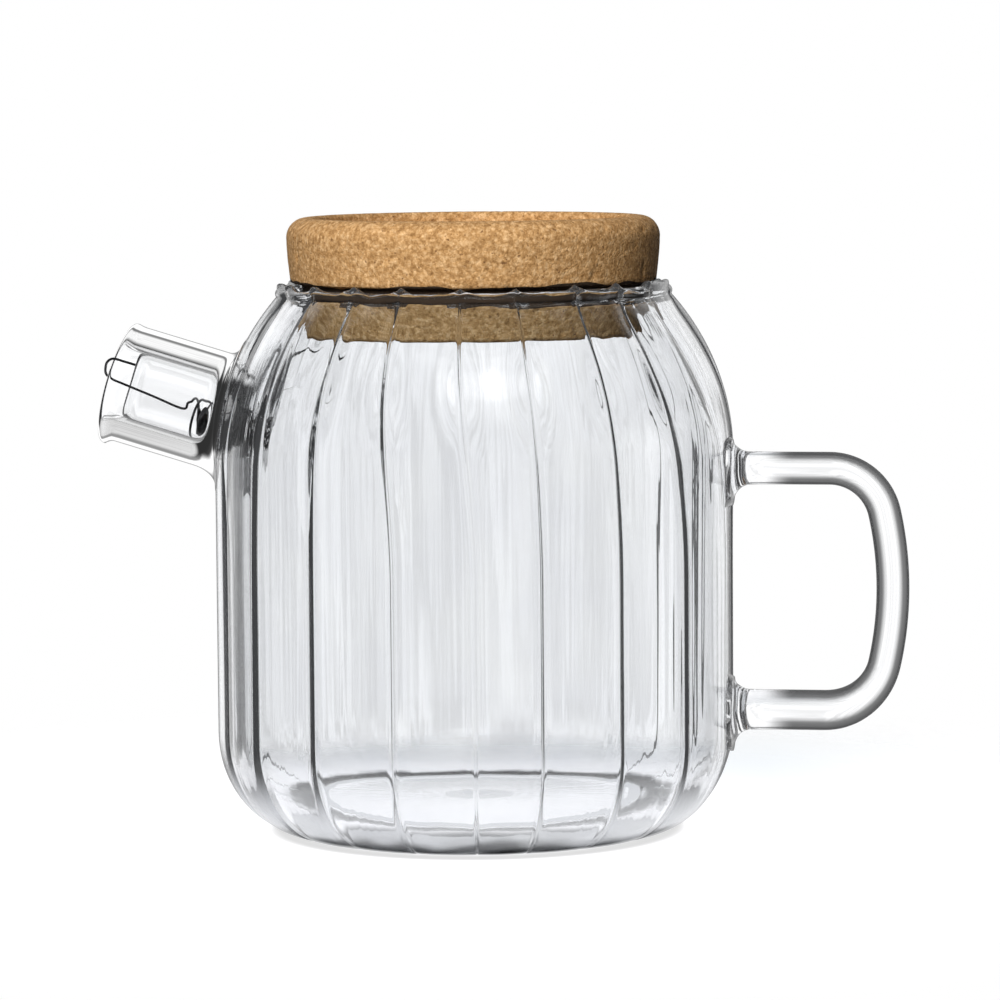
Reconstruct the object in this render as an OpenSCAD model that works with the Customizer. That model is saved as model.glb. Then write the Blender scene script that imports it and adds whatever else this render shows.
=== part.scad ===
// Glass teapot with a cork lid and a wire strainer in its spout.
// Millimetres, +Z up. The origin is the centre of the flat foot.
// The handle points to +X and the spout to -X.

/* [Glass body] */
// Radius over the crests of the lobes
body_r = 60; // [50:1:75]
// Height of the rim's top above the table
rim_z = 126; // [118:1:150]
// Radius of the flat foot
foot_r = 40; // [32:1:46]
// Height at which the rounded heel meets the straight wall
heel_h = 23.6; // [16:0.2:28]
// Height at which the straight wall turns into the domed shoulder
shoulder_z = 85.5; // [80:0.5:90]
// Thickness of the blown wall
wall = 2.2; // [1.8:0.1:3]
// Thickness of the floor
floor_t = 3.5; // [2.5:0.1:5]
// Thickness of the fire-polished bead round the mouth
bead_d = 3.4; // [3:0.1:4]
// Inner radius of the mouth
mouth_r = 42.4; // [40:0.1:44]
// Number of vertical lobes
lobes = 20; // [12:1:24]
// How deep the creases between the lobes cut into the outside
crease_depth = 1.2; // [0.6:0.1:1.4]
// How far the creases show on the inside
inner_crease_depth = 0.4; // [0.1:0.1:0.7]
// How much the rim rises where a crease runs into it
rim_wave_h = 0.8; // [0:0.1:1.2]

/* [Spout] */
// Outer diameter of the spout tube
spout_d = 27.5; // [24:0.5:32]
// Wall of the spout tube
spout_wall = 2; // [1.5:0.1:3]
// Height at which the spout's axis crosses the body's radius
spout_z = 96.4; // [94:0.2:99]
// Upward tilt of the spout
spout_tilt = 16.5; // [14:0.5:18]
// How far the lip's centre stands out from the body's radius
spout_reach = 24; // [20:0.5:32]
// How much the lip flares out
lip_flare = 0.6; // [0:0.1:0.8]
// Length over which the lip flares
lip_len = 3; // [2:0.5:5]
// Radius of the weld's fillet against the tube
collar_fillet = 6; // [5:0.5:8]
// Widest radius of the weld against the body
collar_r = 19.5; // [19:0.5:21]

/* [Handle] */
// Diameter of the glass rod at the upper arm and the grip
rod_d = 7.5; // [6:0.5:9]
// Diameter to which the rod thickens along the lower arm
lower_rod_d = 9.2; // [6:0.2:10]
// Height of the upper arm's axis
handle_top_z = 83.8; // [78:0.2:88]
// Height of the lower arm's axis
handle_bottom_z = 28.2; // [26:0.2:34]
// How far the grip's axis stands out from the body's radius
handle_reach = 36.3; // [34:0.1:45]
// Bend radius of the upper corner
top_corner_r = 12.8; // [10:0.2:16]
// Bend radius of the lower corner
bottom_corner_r = 14; // [10:0.2:16]
// Angle by which the bowed grip leans at each of its ends
grip_lean = 12.6; // [10:0.2:15]
// Length of each weld between the body and the rod
weld_len = 4; // [3:0.2:6]
// How much wider than the rod a weld is where it meets the body
weld_flare = 2.8; // [2:0.1:3.5]

/* [Cork lid] */
// Height of the lid above the rim
lid_rise = 15.5; // [12:0.5:22]
// Depth of the plug below the rim
plug_depth = 12; // [8:0.5:16]
// Widest radius of the lid
lid_r = 42.95; // [42.9:0.05:45]
// Radius at the bottom of the plug
plug_r = 39.7; // [37:0.1:40]
// Rounding of the lid's top edge
lid_round = 4.5; // [3:0.5:6]
// Width of the raised ring round the dished top
ring_w = 6.4; // [6:0.2:9]
// Depth of the dished top
dish_depth = 3; // [1:0.5:5]

/* [Strainer] */
// Diameter of the steel wire
wire_d = 0.6; // [0.4:0.1:0.8]
// Outer diameter of the coil
coil_d = 11.4; // [9:0.2:11.6]
// Distance between neighbouring turns
coil_pitch = 1.6; // [1.2:0.1:2]
// Number of full-width turns
coil_turns = 8; // [5:1:9]
// Number of turns that close the coil's inner end to a dome
nose_turns = 4; // [3:1:5]
// Length of the domed end
nose_len = 3.6; // [2.5:0.1:5]
// Height at which the coil's axis crosses the body's radius
coil_z = 92.7; // [92.4:0.1:93.6]
// Upward tilt of the coil's axis
coil_tilt = 12; // [11.5:0.5:12.5]
// How far the coil's outer end stands out from the body's radius
coil_out = 7.4; // [5:0.2:9]

/* [Fits] */
// Clearance between the plug and the mouth
lid_gap = 0.2; // [0.1:0.05:0.4]
// Clearance between the coil and the hole in the wall
hole_gap = 0.3; // [0.2:0.05:0.5]
// Clearance between the strainer's hook and the spout's glass
hook_gap = 0.5; // [0.4:0.05:0.8]
// How deep the welds sink into the body's wall
weld_sink = 1.2; // [1:0.1:1.4]

/* [Hidden] */
$fn = 96;

glass = [0.80, 0.86, 0.88, 0.5];
clear_glass = [0.72, 0.80, 0.83, 0.6];
cork = [0.74, 0.56, 0.36];
steel = [0.55, 0.56, 0.58];

// ---- glass body ----

points_per_lobe = 6;
ring_points = lobes * points_per_lobe;
heel_steps = 6;
dome_steps = 7;
heel_w = body_r - foot_r;
bead_r = bead_d / 2;
bead_cx = mouth_r + bead_r;
bead_cz = rim_z - bead_r;
bead_first = -30;
bead_step = 45;
bead_angles = [bead_first, 0, 45, 90, 135, 180];
// The shoulder is an arc, outside and inside, that leaves the straight wall upright and ends on
// the bead. The radius of such an arc follows from how far it goes in and up.
function arc_r(inward, up) = (inward * inward + up * up) / (2 * inward);
dome_up = bead_cz + bead_r * sin(bead_first) - shoulder_z;
dome_r = arc_r(body_r - bead_cx - bead_r * cos(bead_first), dome_up);
dome_cx = body_r - dome_r;
dome_end = asin(dome_up / dome_r);
inner_dome_up = bead_cz - bead_r * sin(bead_step) - shoulder_z;
inner_dome_r = arc_r(body_r - wall - bead_cx + bead_r * cos(bead_step), inner_dome_up);
inner_dome_cx = body_r - wall - inner_dome_r;
inner_dome_end = asin(inner_dome_up / inner_dome_r);

// 0 on a lobe's crest, 1 in a crease.
function crease(i) = pow(abs(((i + points_per_lobe / 2) % points_per_lobe) - points_per_lobe / 2)
                         / (points_per_lobe / 2), 2);

// A ring of the jar: radius, height, crease depth as a share of the radius, and wave at the rim.
// The bead takes the rings from the lobed outside to a round mouth that seats the plug.
outer_share = crease_depth / body_r;
inner_share = inner_crease_depth / body_r;
function mix(a, b, t) = a + (b - a) * t;
outer_rings = concat(
    [for (k = [0 : heel_steps])
        let (t = 90 * k / heel_steps)
        [foot_r + heel_w * sin(t), heel_h * (1 - cos(t)), outer_share, 0]],
    [for (k = [0 : dome_steps])
        let (t = dome_end * k / dome_steps)
        [dome_cx + dome_r * cos(t), shoulder_z + dome_r * sin(t), outer_share, 0]]);
bead_rings = [for (k = [1 : len(bead_angles) - 1])
    let (t = bead_angles[k])
    [bead_cx + bead_r * cos(t), bead_cz + bead_r * sin(t),
     outer_share * (1 - k / (len(bead_angles) - 1)), rim_wave_h * max(0, sin(t))]];
inner_rings = concat(
    [for (k = [0 : dome_steps])
        let (t = inner_dome_end * (1 - k / dome_steps))
        [inner_dome_cx + inner_dome_r * cos(t), shoulder_z + inner_dome_r * sin(t), inner_share, 0]],
    [for (k = [0 : heel_steps])
        let (t = 90 * (1 - k / heel_steps))
        [foot_r + (heel_w - wall) * sin(t), heel_h - (heel_h - floor_t) * cos(t), inner_share, 0]]);
jar_rings = concat(outer_rings, bead_rings, inner_rings);

function ring_point(ring, i) =
    let (a = 360 * i / ring_points, c = crease(i), r = ring[0] * (1 - ring[2] * c))
    [r * cos(a), r * sin(a), ring[1] + ring[3] * (c - 0.5)];

// Triangles between neighbouring rings, and fans that close the first and the last ring.
function strip_faces(rings, n) = [for (j = [0 : rings - 2], i = [0 : n - 1])
    let (a = j * n + i, b = j * n + (i + 1) % n)
    each [[a, a + n, b], [b, a + n, b + n]]];
function fan_faces(first, centre, n, up) = [for (i = [0 : n - 1])
    let (a = first + i, b = first + (i + 1) % n)
    up ? [a, centre, b] : [a, b, centre]];

function unit(v) = v / norm(v);
function heading(p, k) = unit(p[min(k + 1, len(p) - 1)] - p[max(k - 1, 0)]);
function square_to(v, t) = unit(v - (v * t) * t);

// A round bar swept along a path. Each ring's frame is carried on from the ring before it.
module swept_round(path, radii, sides) {
    n = len(path);
    frames = [for (k = 0, u = square_to([0, 0.6, 0.8], heading(path, 0)); k < n;
                   k = k + 1, u = k < n ? square_to(u, heading(path, k)) : u) u];
    points = concat([for (k = [0 : n - 1], i = [0 : sides - 1])
                        let (u = frames[k], w = cross(heading(path, k), u), a = 360 * i / sides)
                        path[k] + radii[k] * (cos(a) * u + sin(a) * w)],
                    [path[0], path[n - 1]]);
    faces = concat(strip_faces(n, sides),
                   fan_faces(0, n * sides, sides, false),
                   fan_faces((n - 1) * sides, n * sides + 1, sides, true));
    polyhedron(points, faces);
}

module jar_blank() {
    n = ring_points;
    count = len(jar_rings);
    points = concat([for (ring = jar_rings, i = [0 : n - 1]) ring_point(ring, i)],
                    [[0, 0, 0], [0, 0, floor_t]]);
    faces = concat(strip_faces(count, n),
                   fan_faces(0, count * n, n, false),
                   fan_faces((count - 1) * n, count * n + 1, n, true));
    polyhedron(points, faces);
}

module glass_body() {
    color(glass)
    difference() {
        jar_blank();
        collar_shape();
        outlet_hole();
        weld_shape(handle_top_z, rod_r);
        weld_shape(handle_bottom_z, lower_rod_r);
    }
}

// ---- spout ----

spout_r = spout_d / 2;
bore_r = spout_r - spout_wall;
spout_len = spout_reach / cos(spout_tilt);
collar_len = collar_fillet / 2;
fillet_turn = 45;
fillet_steps = 5;

// Local +Z runs out along a tilted axis that crosses the body's radius at height z.
module on_tilted_axis(z, tilt) {
    translate([-body_r, 0, z]) rotate([0, tilt - 90, 0]) children();
}

// The body's smooth outer form, shrunk by the depth of the welds.
module weld_bed() {
    r = dome_r - weld_sink;
    translate([0, 0, heel_h])
        cylinder(r = body_r - weld_sink, h = shoulder_z - heel_h);
    rotate_extrude()
        intersection() {
            translate([dome_cx, shoulder_z]) circle(r = r);
            translate([0, shoulder_z]) square([body_r, r]);
        }
}

// A fillet leaves the tube, turns outwards and ends in a cone that lands on the body.
module collar_shape() {
    cone_r = spout_r + collar_fillet * (1 - cos(fillet_turn));
    cone_z = collar_len - collar_fillet * sin(fillet_turn);
    foot_z = cone_z - (collar_r - cone_r);
    deep = foot_z - 2 * spout_wall;
    fillet = [for (k = [0 : fillet_steps])
        let (t = fillet_turn * k / fillet_steps)
        [spout_r + collar_fillet * (1 - cos(t)), collar_len - collar_fillet * sin(t)]];
    difference() {
        on_tilted_axis(spout_z, spout_tilt)
            rotate_extrude()
                polygon(concat([[bore_r, deep], [bore_r, collar_len]], fillet,
                               [[collar_r, foot_z], [collar_r, deep]]));
        weld_bed();
    }
}

module spout_collar() {
    color(clear_glass) collar_shape();
}

module spout_tube() {
    lip_r = spout_wall / 2;
    color(clear_glass)
    on_tilted_axis(spout_z, spout_tilt)
        rotate_extrude()
            union() {
                polygon([[bore_r, collar_len], [spout_r, collar_len],
                         [spout_r, spout_len - lip_len],
                         [spout_r + lip_flare, spout_len - lip_r],
                         [bore_r + lip_flare, spout_len - lip_r],
                         [bore_r, spout_len - lip_len]]);
                translate([bore_r + lip_flare + lip_r, spout_len - lip_r]) circle(r = lip_r);
            }
}

// ---- handle ----

rod_r = rod_d / 2;
lower_rod_r = lower_rod_d / 2;
rod_sides = 24;
corner_steps = 10;
grip_steps = 8;
rod_start_x = body_r + weld_len;
grip_x = body_r + handle_reach;
// The grip is an arc whose radius follows from the height that its corners leave.
first_turn = 90 - grip_lean;
second_turn = 90 + grip_lean;
grip_r = (handle_top_z - handle_bottom_z - top_corner_r * (1 - cos(first_turn))
          - bottom_corner_r * (1 + cos(second_turn))) / (cos(first_turn) - cos(second_turn));
grip_cx = grip_x - grip_r;
grip_cz = handle_top_z - top_corner_r - (grip_r - top_corner_r) * cos(first_turn);
top_corner_x = grip_cx + (grip_r - top_corner_r) * sin(first_turn);
bottom_corner_x = grip_cx + (grip_r - bottom_corner_r) * sin(second_turn);

// Points along an arc in the handle's plane. Angles run clockwise from straight up.
function arc(x, z, r, from, to, steps) = [for (k = [0 : steps])
    let (a = mix(from, to, k / steps)) [x + r * sin(a), 0, z + r * cos(a)]];

upper_path = concat(
    [[rod_start_x, 0, handle_top_z]],
    arc(top_corner_x, handle_top_z - top_corner_r, top_corner_r, 0, first_turn, corner_steps));
grip_path = arc(grip_cx, grip_cz, grip_r, first_turn, second_turn, grip_steps);
lower_path = arc(bottom_corner_x, handle_bottom_z + bottom_corner_r, bottom_corner_r,
                 second_turn, 180, corner_steps);
handle_path = concat(upper_path, [for (k = [1 : grip_steps]) grip_path[k]],
                     [for (k = [1 : corner_steps]) lower_path[k]],
                     [[rod_start_x, 0, handle_bottom_z]]);
handle_radii = concat(
    [for (k = [1 : len(upper_path) + grip_steps]) rod_r],
    [for (k = [1 : corner_steps]) mix(rod_r, lower_rod_r, k / corner_steps)],
    [lower_rod_r]);

module handle_rod() {
    color(clear_glass) swept_round(handle_path, handle_radii, rod_sides);
}

// A trumpet of fused glass: as wide as the rod at its end, flared where it sinks into the wall.
module weld_shape(z, r) {
    steps = 6;
    flare = [for (k = [0 : steps])
        let (t = 90 * k / steps)
        [r + weld_flare * (1 - sin(t)), weld_len * (1 - cos(t))]];
    translate([body_r, 0, z]) rotate([0, 90, 0])
        rotate_extrude()
            polygon(concat([[0, -weld_sink], [r + weld_flare, -weld_sink]], flare,
                           [[0, weld_len]]));
}

module handle_upper_weld() {
    color(clear_glass) weld_shape(handle_top_z, rod_r);
}

module handle_lower_weld() {
    color(clear_glass) weld_shape(handle_bottom_z, lower_rod_r);
}

// ---- cork lid ----

lid_top = rim_z + lid_rise;
plug_z = rim_z - plug_depth;
dish_r = lid_r - ring_w;
plug_chamfer = 1;
dish_round = 1;

module cork_lid() {
    round_steps = 6;
    corner = [for (k = [0 : round_steps])
        let (t = 90 * k / round_steps)
        [lid_r - lid_round * (1 - cos(t)), lid_top - lid_round * (1 - sin(t))]];
    color(cork)
    rotate_extrude()
        polygon(concat(
            [[0, plug_z], [plug_r - plug_chamfer, plug_z], [plug_r, plug_z + plug_chamfer],
             [mouth_r - lid_gap, bead_cz]],
            corner,
            [[dish_r + dish_round, lid_top], [dish_r, lid_top - dish_round],
             [dish_r, lid_top - dish_depth], [0, lid_top - dish_depth]]));
}

// ---- strainer ----

wire_r = wire_d / 2;
coil_r = coil_d / 2 - wire_r;
wire_sides = 8;
points_per_turn = 16;
hole_r = coil_d / 2 + hole_gap;
hook_steps = 4;

// The coil sits in this hole, through the wall inside the spout's root.
module outlet_hole() {
    on_tilted_axis(coil_z, coil_tilt)
        translate([0, 0, -body_r / 3]) cylinder(r = hole_r, h = body_r / 3 + collar_len);
}

// A place in the tilted frame of the spout or the coil: out along the axis, up, and to the side.
function tilted_place(z, tilt, out, up, side) =
    [-body_r - out * cos(tilt) + up * sin(tilt), -side, z + out * sin(tilt) + up * cos(tilt)];
function in_spout(out, up, side) = tilted_place(spout_z, spout_tilt, out, up, side);
function in_coil(out, up, side) = tilted_place(coil_z, coil_tilt, out, up, side);

// The hook's outer leg lies along the outside of the lip, its inner leg inside the bore.
leg_up = 6.4;
leg_len = 5.8;
outer_leg_r = spout_r + lip_flare + hook_gap + wire_r;
inner_leg_up = 1.3;
inner_leg_r = bore_r - hook_gap - wire_r;
outer_side = sqrt(outer_leg_r * outer_leg_r - leg_up * leg_up);
inner_side = sqrt(inner_leg_r * inner_leg_r - inner_leg_up * inner_leg_up);
over_lip = hook_gap + wire_r;
tail_bend = 1.6;
hook_points = [
    in_spout(spout_len - leg_len, leg_up, outer_side),
    in_spout(spout_len - leg_len / 2, leg_up, outer_side),
    in_spout(spout_len - 0.4, leg_up - 0.1, outer_side),
    in_spout(spout_len + over_lip, leg_up - 1.2, outer_side - 0.3),
    in_spout(spout_len + over_lip + 0.3, leg_up - 2.8, mix(outer_side, inner_side, 0.5)),
    in_spout(spout_len + over_lip, leg_up - 4.3, inner_side + 0.3),
    in_spout(spout_len - 0.8, inner_leg_up, inner_side),
    in_spout(spout_len - 3.5, inner_leg_up - 0.4, inner_side - 0.5),
    mix(in_spout(spout_len - 3.5, inner_leg_up - 0.4, inner_side - 0.5),
        in_coil(coil_out + tail_bend, -1.8, coil_r + 0.2), 0.5),
    in_coil(coil_out + tail_bend, -1.8, coil_r + 0.2),
    in_coil(coil_out + 0.6, -1.7, coil_r)];
coil_start = -6;
coil_len = coil_pitch * coil_turns;
nose_end = 82;
coil_points = [for (k = [0 : coil_turns * points_per_turn])
    let (a = coil_start + 360 * k / points_per_turn)
    in_coil(coil_out - coil_pitch * k / points_per_turn, coil_r * sin(a), coil_r * cos(a))];
nose_points = [for (k = [1 : nose_turns * points_per_turn])
    let (a = coil_start + 360 * k / points_per_turn,
         t = nose_end * k / (nose_turns * points_per_turn), r = coil_r * cos(t))
    in_coil(coil_out - coil_len - nose_len * sin(t), r * sin(a), r * cos(a))];

// A smooth curve through the chosen points.
function smooth(p, steps) = [for (j = [0 : len(p) - 2], k = [0 : steps - 1])
    let (t = k / steps, a = p[max(j - 1, 0)], b = p[j], c = p[j + 1], d = p[min(j + 2, len(p) - 1)])
    0.5 * (2 * b + (c - a) * t + (2 * a - 5 * b + 4 * c - d) * t * t
           + (3 * b - a - 3 * c + d) * t * t * t)];
wire_path = concat(smooth(concat(hook_points, [coil_points[0]]), hook_steps), coil_points,
                   nose_points);

module spout_strainer() {
    color(steel) swept_round(wire_path, [for (p = wire_path) wire_r], wire_sides);
}

glass_body();
spout_tube();
spout_collar();
handle_rod();
handle_upper_weld();
handle_lower_weld();
cork_lid();
spout_strainer();
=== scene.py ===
import math

import bpy
from mathutils import Matrix, Vector, noise


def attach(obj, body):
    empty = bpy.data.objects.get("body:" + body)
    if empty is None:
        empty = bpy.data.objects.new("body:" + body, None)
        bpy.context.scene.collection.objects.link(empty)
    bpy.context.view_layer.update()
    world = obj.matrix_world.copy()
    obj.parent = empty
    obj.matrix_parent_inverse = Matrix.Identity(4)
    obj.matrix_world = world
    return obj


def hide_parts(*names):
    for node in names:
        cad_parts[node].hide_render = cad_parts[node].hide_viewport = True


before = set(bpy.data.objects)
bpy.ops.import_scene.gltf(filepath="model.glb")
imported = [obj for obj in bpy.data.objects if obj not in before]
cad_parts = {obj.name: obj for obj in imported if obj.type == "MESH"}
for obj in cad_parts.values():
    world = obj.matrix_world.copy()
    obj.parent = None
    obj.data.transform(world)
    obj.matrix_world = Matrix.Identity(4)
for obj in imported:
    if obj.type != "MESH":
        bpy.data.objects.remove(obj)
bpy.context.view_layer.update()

# Glass teapot with a cork lid and a wire strainer. Lengths are millimetres until a mesh is made.
MM = 0.001

# ---- sizes shared with the CAD part ----

BODY_R = 60.0
RIM_Z = 126.0
FOOT_R = 40.0
HEEL_H = 23.6
SHOULDER_Z = 85.5
WALL = 2.2
FLOOR_T = 3.5
BEAD_R = 1.7
MOUTH_R = 42.4
LOBES = 20
SPOUT_R = 13.75
BORE_R = 11.75
SPOUT_Z = 96.4
SPOUT_TILT = math.radians(16.5)
SPOUT_LEN = 24.0 / math.cos(SPOUT_TILT)
ROD_R = 3.75
LOWER_ROD_R = 4.6
HANDLE_TOP_Z = 83.8
HANDLE_BOTTOM_Z = 28.2
HANDLE_REACH = 36.3
TOP_CORNER_R = 12.8
BOTTOM_CORNER_R = 14.0
GRIP_LEAN = 12.6
WELD_LEN = 4.0
WELD_FLARE = 2.8
LID_TOP = 141.5
LID_R = 42.95
LID_ROUND = 4.5
PLUG_Z = 114.0
PLUG_R = 39.7
RING_W = 6.4
DISH_DEPTH = 3.0
WIRE_R = 0.3
COIL_R = 5.4
COIL_PITCH = 1.6
COIL_TURNS = 8
NOSE_TURNS = 4
NOSE_LEN = 3.6
COIL_Z = 92.7
COIL_TILT = math.radians(12.0)
COIL_OUT = 7.4
COIL_START = 62.0
OUTLET_R = 6.0

BEAD_CX = MOUTH_R + BEAD_R
BEAD_CZ = RIM_Z - BEAD_R


def mix(a, b, t):
    return a + (b - a) * t


def smoothstep(low, high, value):
    t = min(1.0, max(0.0, (value - low) / (high - low)))
    return t * t * (3 - 2 * t)


def ellipse(cx, cz, rx, rz, start, end, steps):
    """Points (r, z) along an ellipse, from one angle to another in degrees."""
    turns = [math.radians(mix(start, end, k / steps)) for k in range(steps + 1)]
    return [(cx + rx * math.cos(a), cz + rz * math.sin(a)) for a in turns]


def make_mesh(name, points, faces):
    mesh = bpy.data.meshes.new(name)
    mesh.from_pydata([(x * MM, y * MM, z * MM) for x, y, z in points], [], faces)
    mesh.validate()
    obj = bpy.data.objects.new(name, mesh)
    bpy.context.scene.collection.objects.link(obj)
    return obj


def loft(name, rings, capped=True, closed=False):
    """A skin over rings of equally many points; fans close its ends, or it closes on itself."""
    n = len(rings[0])
    points = [p for ring in rings for p in ring]
    count = len(rings)
    faces = [(j * n + i, j * n + (i + 1) % n,
              (j + 1) % count * n + (i + 1) % n, (j + 1) % count * n + i)
             for j in range(count if closed else count - 1) for i in range(n)]
    if capped and not closed:
        for first, flip in ((0, True), ((count - 1) * n, False)):
            centre = len(points)
            ring = points[first:first + n]
            points.append(tuple(sum(p[axis] for p in ring) / n for axis in range(3)))
            for i in range(n):
                a, b = first + i, first + (i + 1) % n
                faces.append((b, a, centre) if flip else (a, b, centre))
    return make_mesh(name, points, faces)


def shade(obj, sharp=60):
    mesh = obj.data
    mesh.polygons.foreach_set("use_smooth", [True] * len(mesh.polygons))
    mesh.set_sharp_from_angle(angle=math.radians(sharp))


def boolean(obj, other, operation):
    """Joins another closed mesh to obj, or cuts it away, and drops the other."""
    step = obj.modifiers.new(operation, "BOOLEAN")
    step.operation = operation
    step.solver = "MANIFOLD"
    step.object = other
    graph = bpy.context.evaluated_depsgraph_get()
    result = bpy.data.meshes.new_from_object(obj.evaluated_get(graph))
    obj.modifiers.remove(step)
    obj.data = result
    bpy.data.objects.remove(other)


# ---- the blown jar ----

POINTS_PER_LOBE = 24
CLUSTER = 0.86
LOBE_DEPTH = 0.62
GROOVE_DEPTH = 0.85
GROOVE_W = 0.34
INNER_LOBE_DEPTH = 0.38
INNER_GROOVE_DEPTH = 0.12
INNER_GROOVE_W = 1.1
# How much wider a crease is on the soft side.
SOFT_GROOVE_SPREAD = 5.5
VALLEY = 1.0
VALLEY_W = 3.4
INNER_VALLEY = 0.9
RIM_WAVE = 1.4
KNOB = 0.6
KNOB_W = 1.3
PUSH_UP = 1.0
STREAK = 0.05
# The side where the creases came out crispest, in degrees from the handle.
CRISP_SIDE = -60.0
# How far each crease strays from its even place, in degrees: along the wall, and at the rim. The
# last eight are read from where the photo's creases lie, the other twelve are made up.
CREASE_STRAY = [(0.8, -6.5), (-1.0, -3.5), (0.9, -1.0), (-0.6, 0.5), (1.3, 1.2), (-0.9, -0.4),
                (0.5, 0.9), (-1.2, -1.0), (0.7, 1.1), (0.0, 0.0), (0.4, 0.3), (-1.0, 0.6),
                (-2.5, -0.2), (-1.5, -1.0), (-0.3, -3.3), (-0.3, -3.9), (-3.9, -5.8),
                (-3.3, -5.6), (-1.9, -8.0), (2.5, -9.5)]


def arc_r(inward, up):
    return (inward * inward + up * up) / (2 * inward)


def dome(inset, bead_angle):
    """Centre, radius and end angle of the shoulder's arc, from the wall to the bead."""
    a = math.radians(bead_angle)
    up = BEAD_CZ + BEAD_R * math.sin(a) - SHOULDER_Z
    radius = arc_r(BODY_R - inset - BEAD_CX - BEAD_R * math.cos(a), up)
    return BODY_R - inset - radius, radius, math.degrees(math.asin(up / radius))


def crease_angle(k, z):
    wall, rim = CREASE_STRAY[k % LOBES]
    return 360 / LOBES * (k + 0.5) + mix(wall, rim, smoothstep(62, 122, z))


def lobe_points(z):
    """(angle in degrees, share of the lobe from crease to crease) round the jar at height z."""
    out = []
    for k in range(LOBES):
        start = crease_angle(k, z)
        # Known fault: crease_angle(LOBES) already holds the full turn, so with 360
        # more the last lobe goes round the jar a second time and skins it twice.
        end = crease_angle(k + 1, z) + (360 if k + 1 == LOBES else 0)
        for j in range(POINTS_PER_LOBE):
            t = j / POINTS_PER_LOBE
            u = t - CLUSTER * math.sin(2 * math.pi * t) / (2 * math.pi)
            out.append((mix(start, end, u), u))
    return out


def streaks(angle, z, seed):
    """Slow unevenness of hand-blown glass: stretched up the wall, quick round it."""
    a = math.radians(angle)
    return (noise.noise(Vector((7 * math.cos(a), 7 * math.sin(a), z / 60 + seed)))
            + 0.6 * noise.noise(Vector((17 * math.cos(a), 17 * math.sin(a), z / 90 + seed))))


def jar_ring(r, z, depth, groove, groove_w, valley=0.0, wave=0.0, knob=0.0,
             streak=0.0, seed=0.0):
    """One turn round the jar, lobed and creased; creases are softer away from CRISP_SIDE."""
    ring = []
    for angle, u in lobe_points(z):
        crisp = 0.5 + 0.5 * math.cos(math.radians(angle - CRISP_SIDE))
        from_crease = min(u, 1 - u) * 2 * math.pi * BODY_R / LOBES
        broad = mix(0.3 + 0.3 * math.cos(2 * math.pi * u), (2 * u - 1) ** 2, crisp)
        width = groove_w * mix(SOFT_GROOVE_SPREAD, 1.0, crisp)
        narrow = math.exp(-(from_crease / width) ** 2)
        groove_share = mix(0.3, 1.0, min(1.0, 1.5 * crisp))
        bump = math.exp(-(from_crease / KNOB_W) ** 2)
        beside = valley * mix(0.3, 1.0, crisp) * math.exp(-(from_crease / VALLEY_W) ** 2)
        shrunk = 1 - depth / BODY_R * broad - groove * groove_share / BODY_R * narrow
        radius = r * shrunk + knob * bump - beside + streak * streaks(angle, z, seed)
        a = math.radians(angle)
        ring.append((radius * math.cos(a), radius * math.sin(a),
                     z + wave * (broad - 0.5) + 0.5 * wave * streaks(angle, 0, 5)
                     + 0.2 * abs(wave) * bump))
    return ring


def on_shoulder(z):
    """How far the valleys beside the creases have deepened towards the rim."""
    return smoothstep(100, 119, z) * (1 - smoothstep(119, 124, z))


def make_jar():
    rings = []
    for r in (3, 8, 13, 18, 23, 27, 30, 32.5, 34.5, 36, 37.5, 39):
        rise = PUSH_UP * (1 - smoothstep(8, 37, r))
        share = smoothstep(27, 40, r)
        rings.append(jar_ring(r, rise, LOBE_DEPTH * share, GROOVE_DEPTH * share, 3 * GROOVE_W))
    outer = ellipse(FOOT_R, HEEL_H, BODY_R - FOOT_R, HEEL_H, -90, 0, 22)
    outer += [(BODY_R, mix(HEEL_H, SHOULDER_Z, k / 18)) for k in range(1, 18)]
    cx, radius, end = dome(0, -30)
    outer += ellipse(cx, SHOULDER_Z, radius, radius, 0, end, 24)
    rings += [jar_ring(r, z, LOBE_DEPTH, GROOVE_DEPTH, GROOVE_W, VALLEY * on_shoulder(z),
                       streak=STREAK) for r, z in outer]
    bead = ellipse(BEAD_CX, BEAD_CZ, BEAD_R, BEAD_R, -30, 225, 18)
    for k, (r, z) in enumerate(bead[1:-1], 1):
        t = k / (len(bead) - 1)
        top = max(0.0, math.sin(math.radians(mix(-30, 225, t))))
        fade = 1 - smoothstep(0.1, 0.6, t)
        rings.append(jar_ring(r, z, LOBE_DEPTH * fade, GROOVE_DEPTH * fade,
                              mix(2.0, 2 * GROOVE_W, fade), wave=RIM_WAVE * top,
                              knob=KNOB * top * (1 - smoothstep(0.35, 0.6, t))))
    cx, radius, end = dome(WALL, 225)
    inner = ellipse(cx, SHOULDER_Z, radius, radius, end, 0, 20)
    inner += [(BODY_R - WALL, mix(SHOULDER_Z, HEEL_H, k / 18)) for k in range(1, 18)]
    inner += ellipse(FOOT_R, HEEL_H, BODY_R - WALL - FOOT_R, HEEL_H - FLOOR_T, 0, -90, 20)
    for r, z in inner:
        lobed = smoothstep(FLOOR_T, 12, z) * (1 - smoothstep(118, 123, z))
        rings.append(jar_ring(r, z, INNER_LOBE_DEPTH * lobed, INNER_GROOVE_DEPTH * lobed,
                              INNER_GROOVE_W, INNER_VALLEY * smoothstep(90, 108, z) * lobed,
                              streak=STREAK * lobed, seed=3.0))
    for r in (37, 33, 28, 22, 16, 10, 4):
        rings.append(jar_ring(r, FLOOR_T + 0.5 * PUSH_UP * (1 - smoothstep(5, 36, r)), 0, 0, 1))
    return loft("jar", rings)


# ---- spout ----

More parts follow.
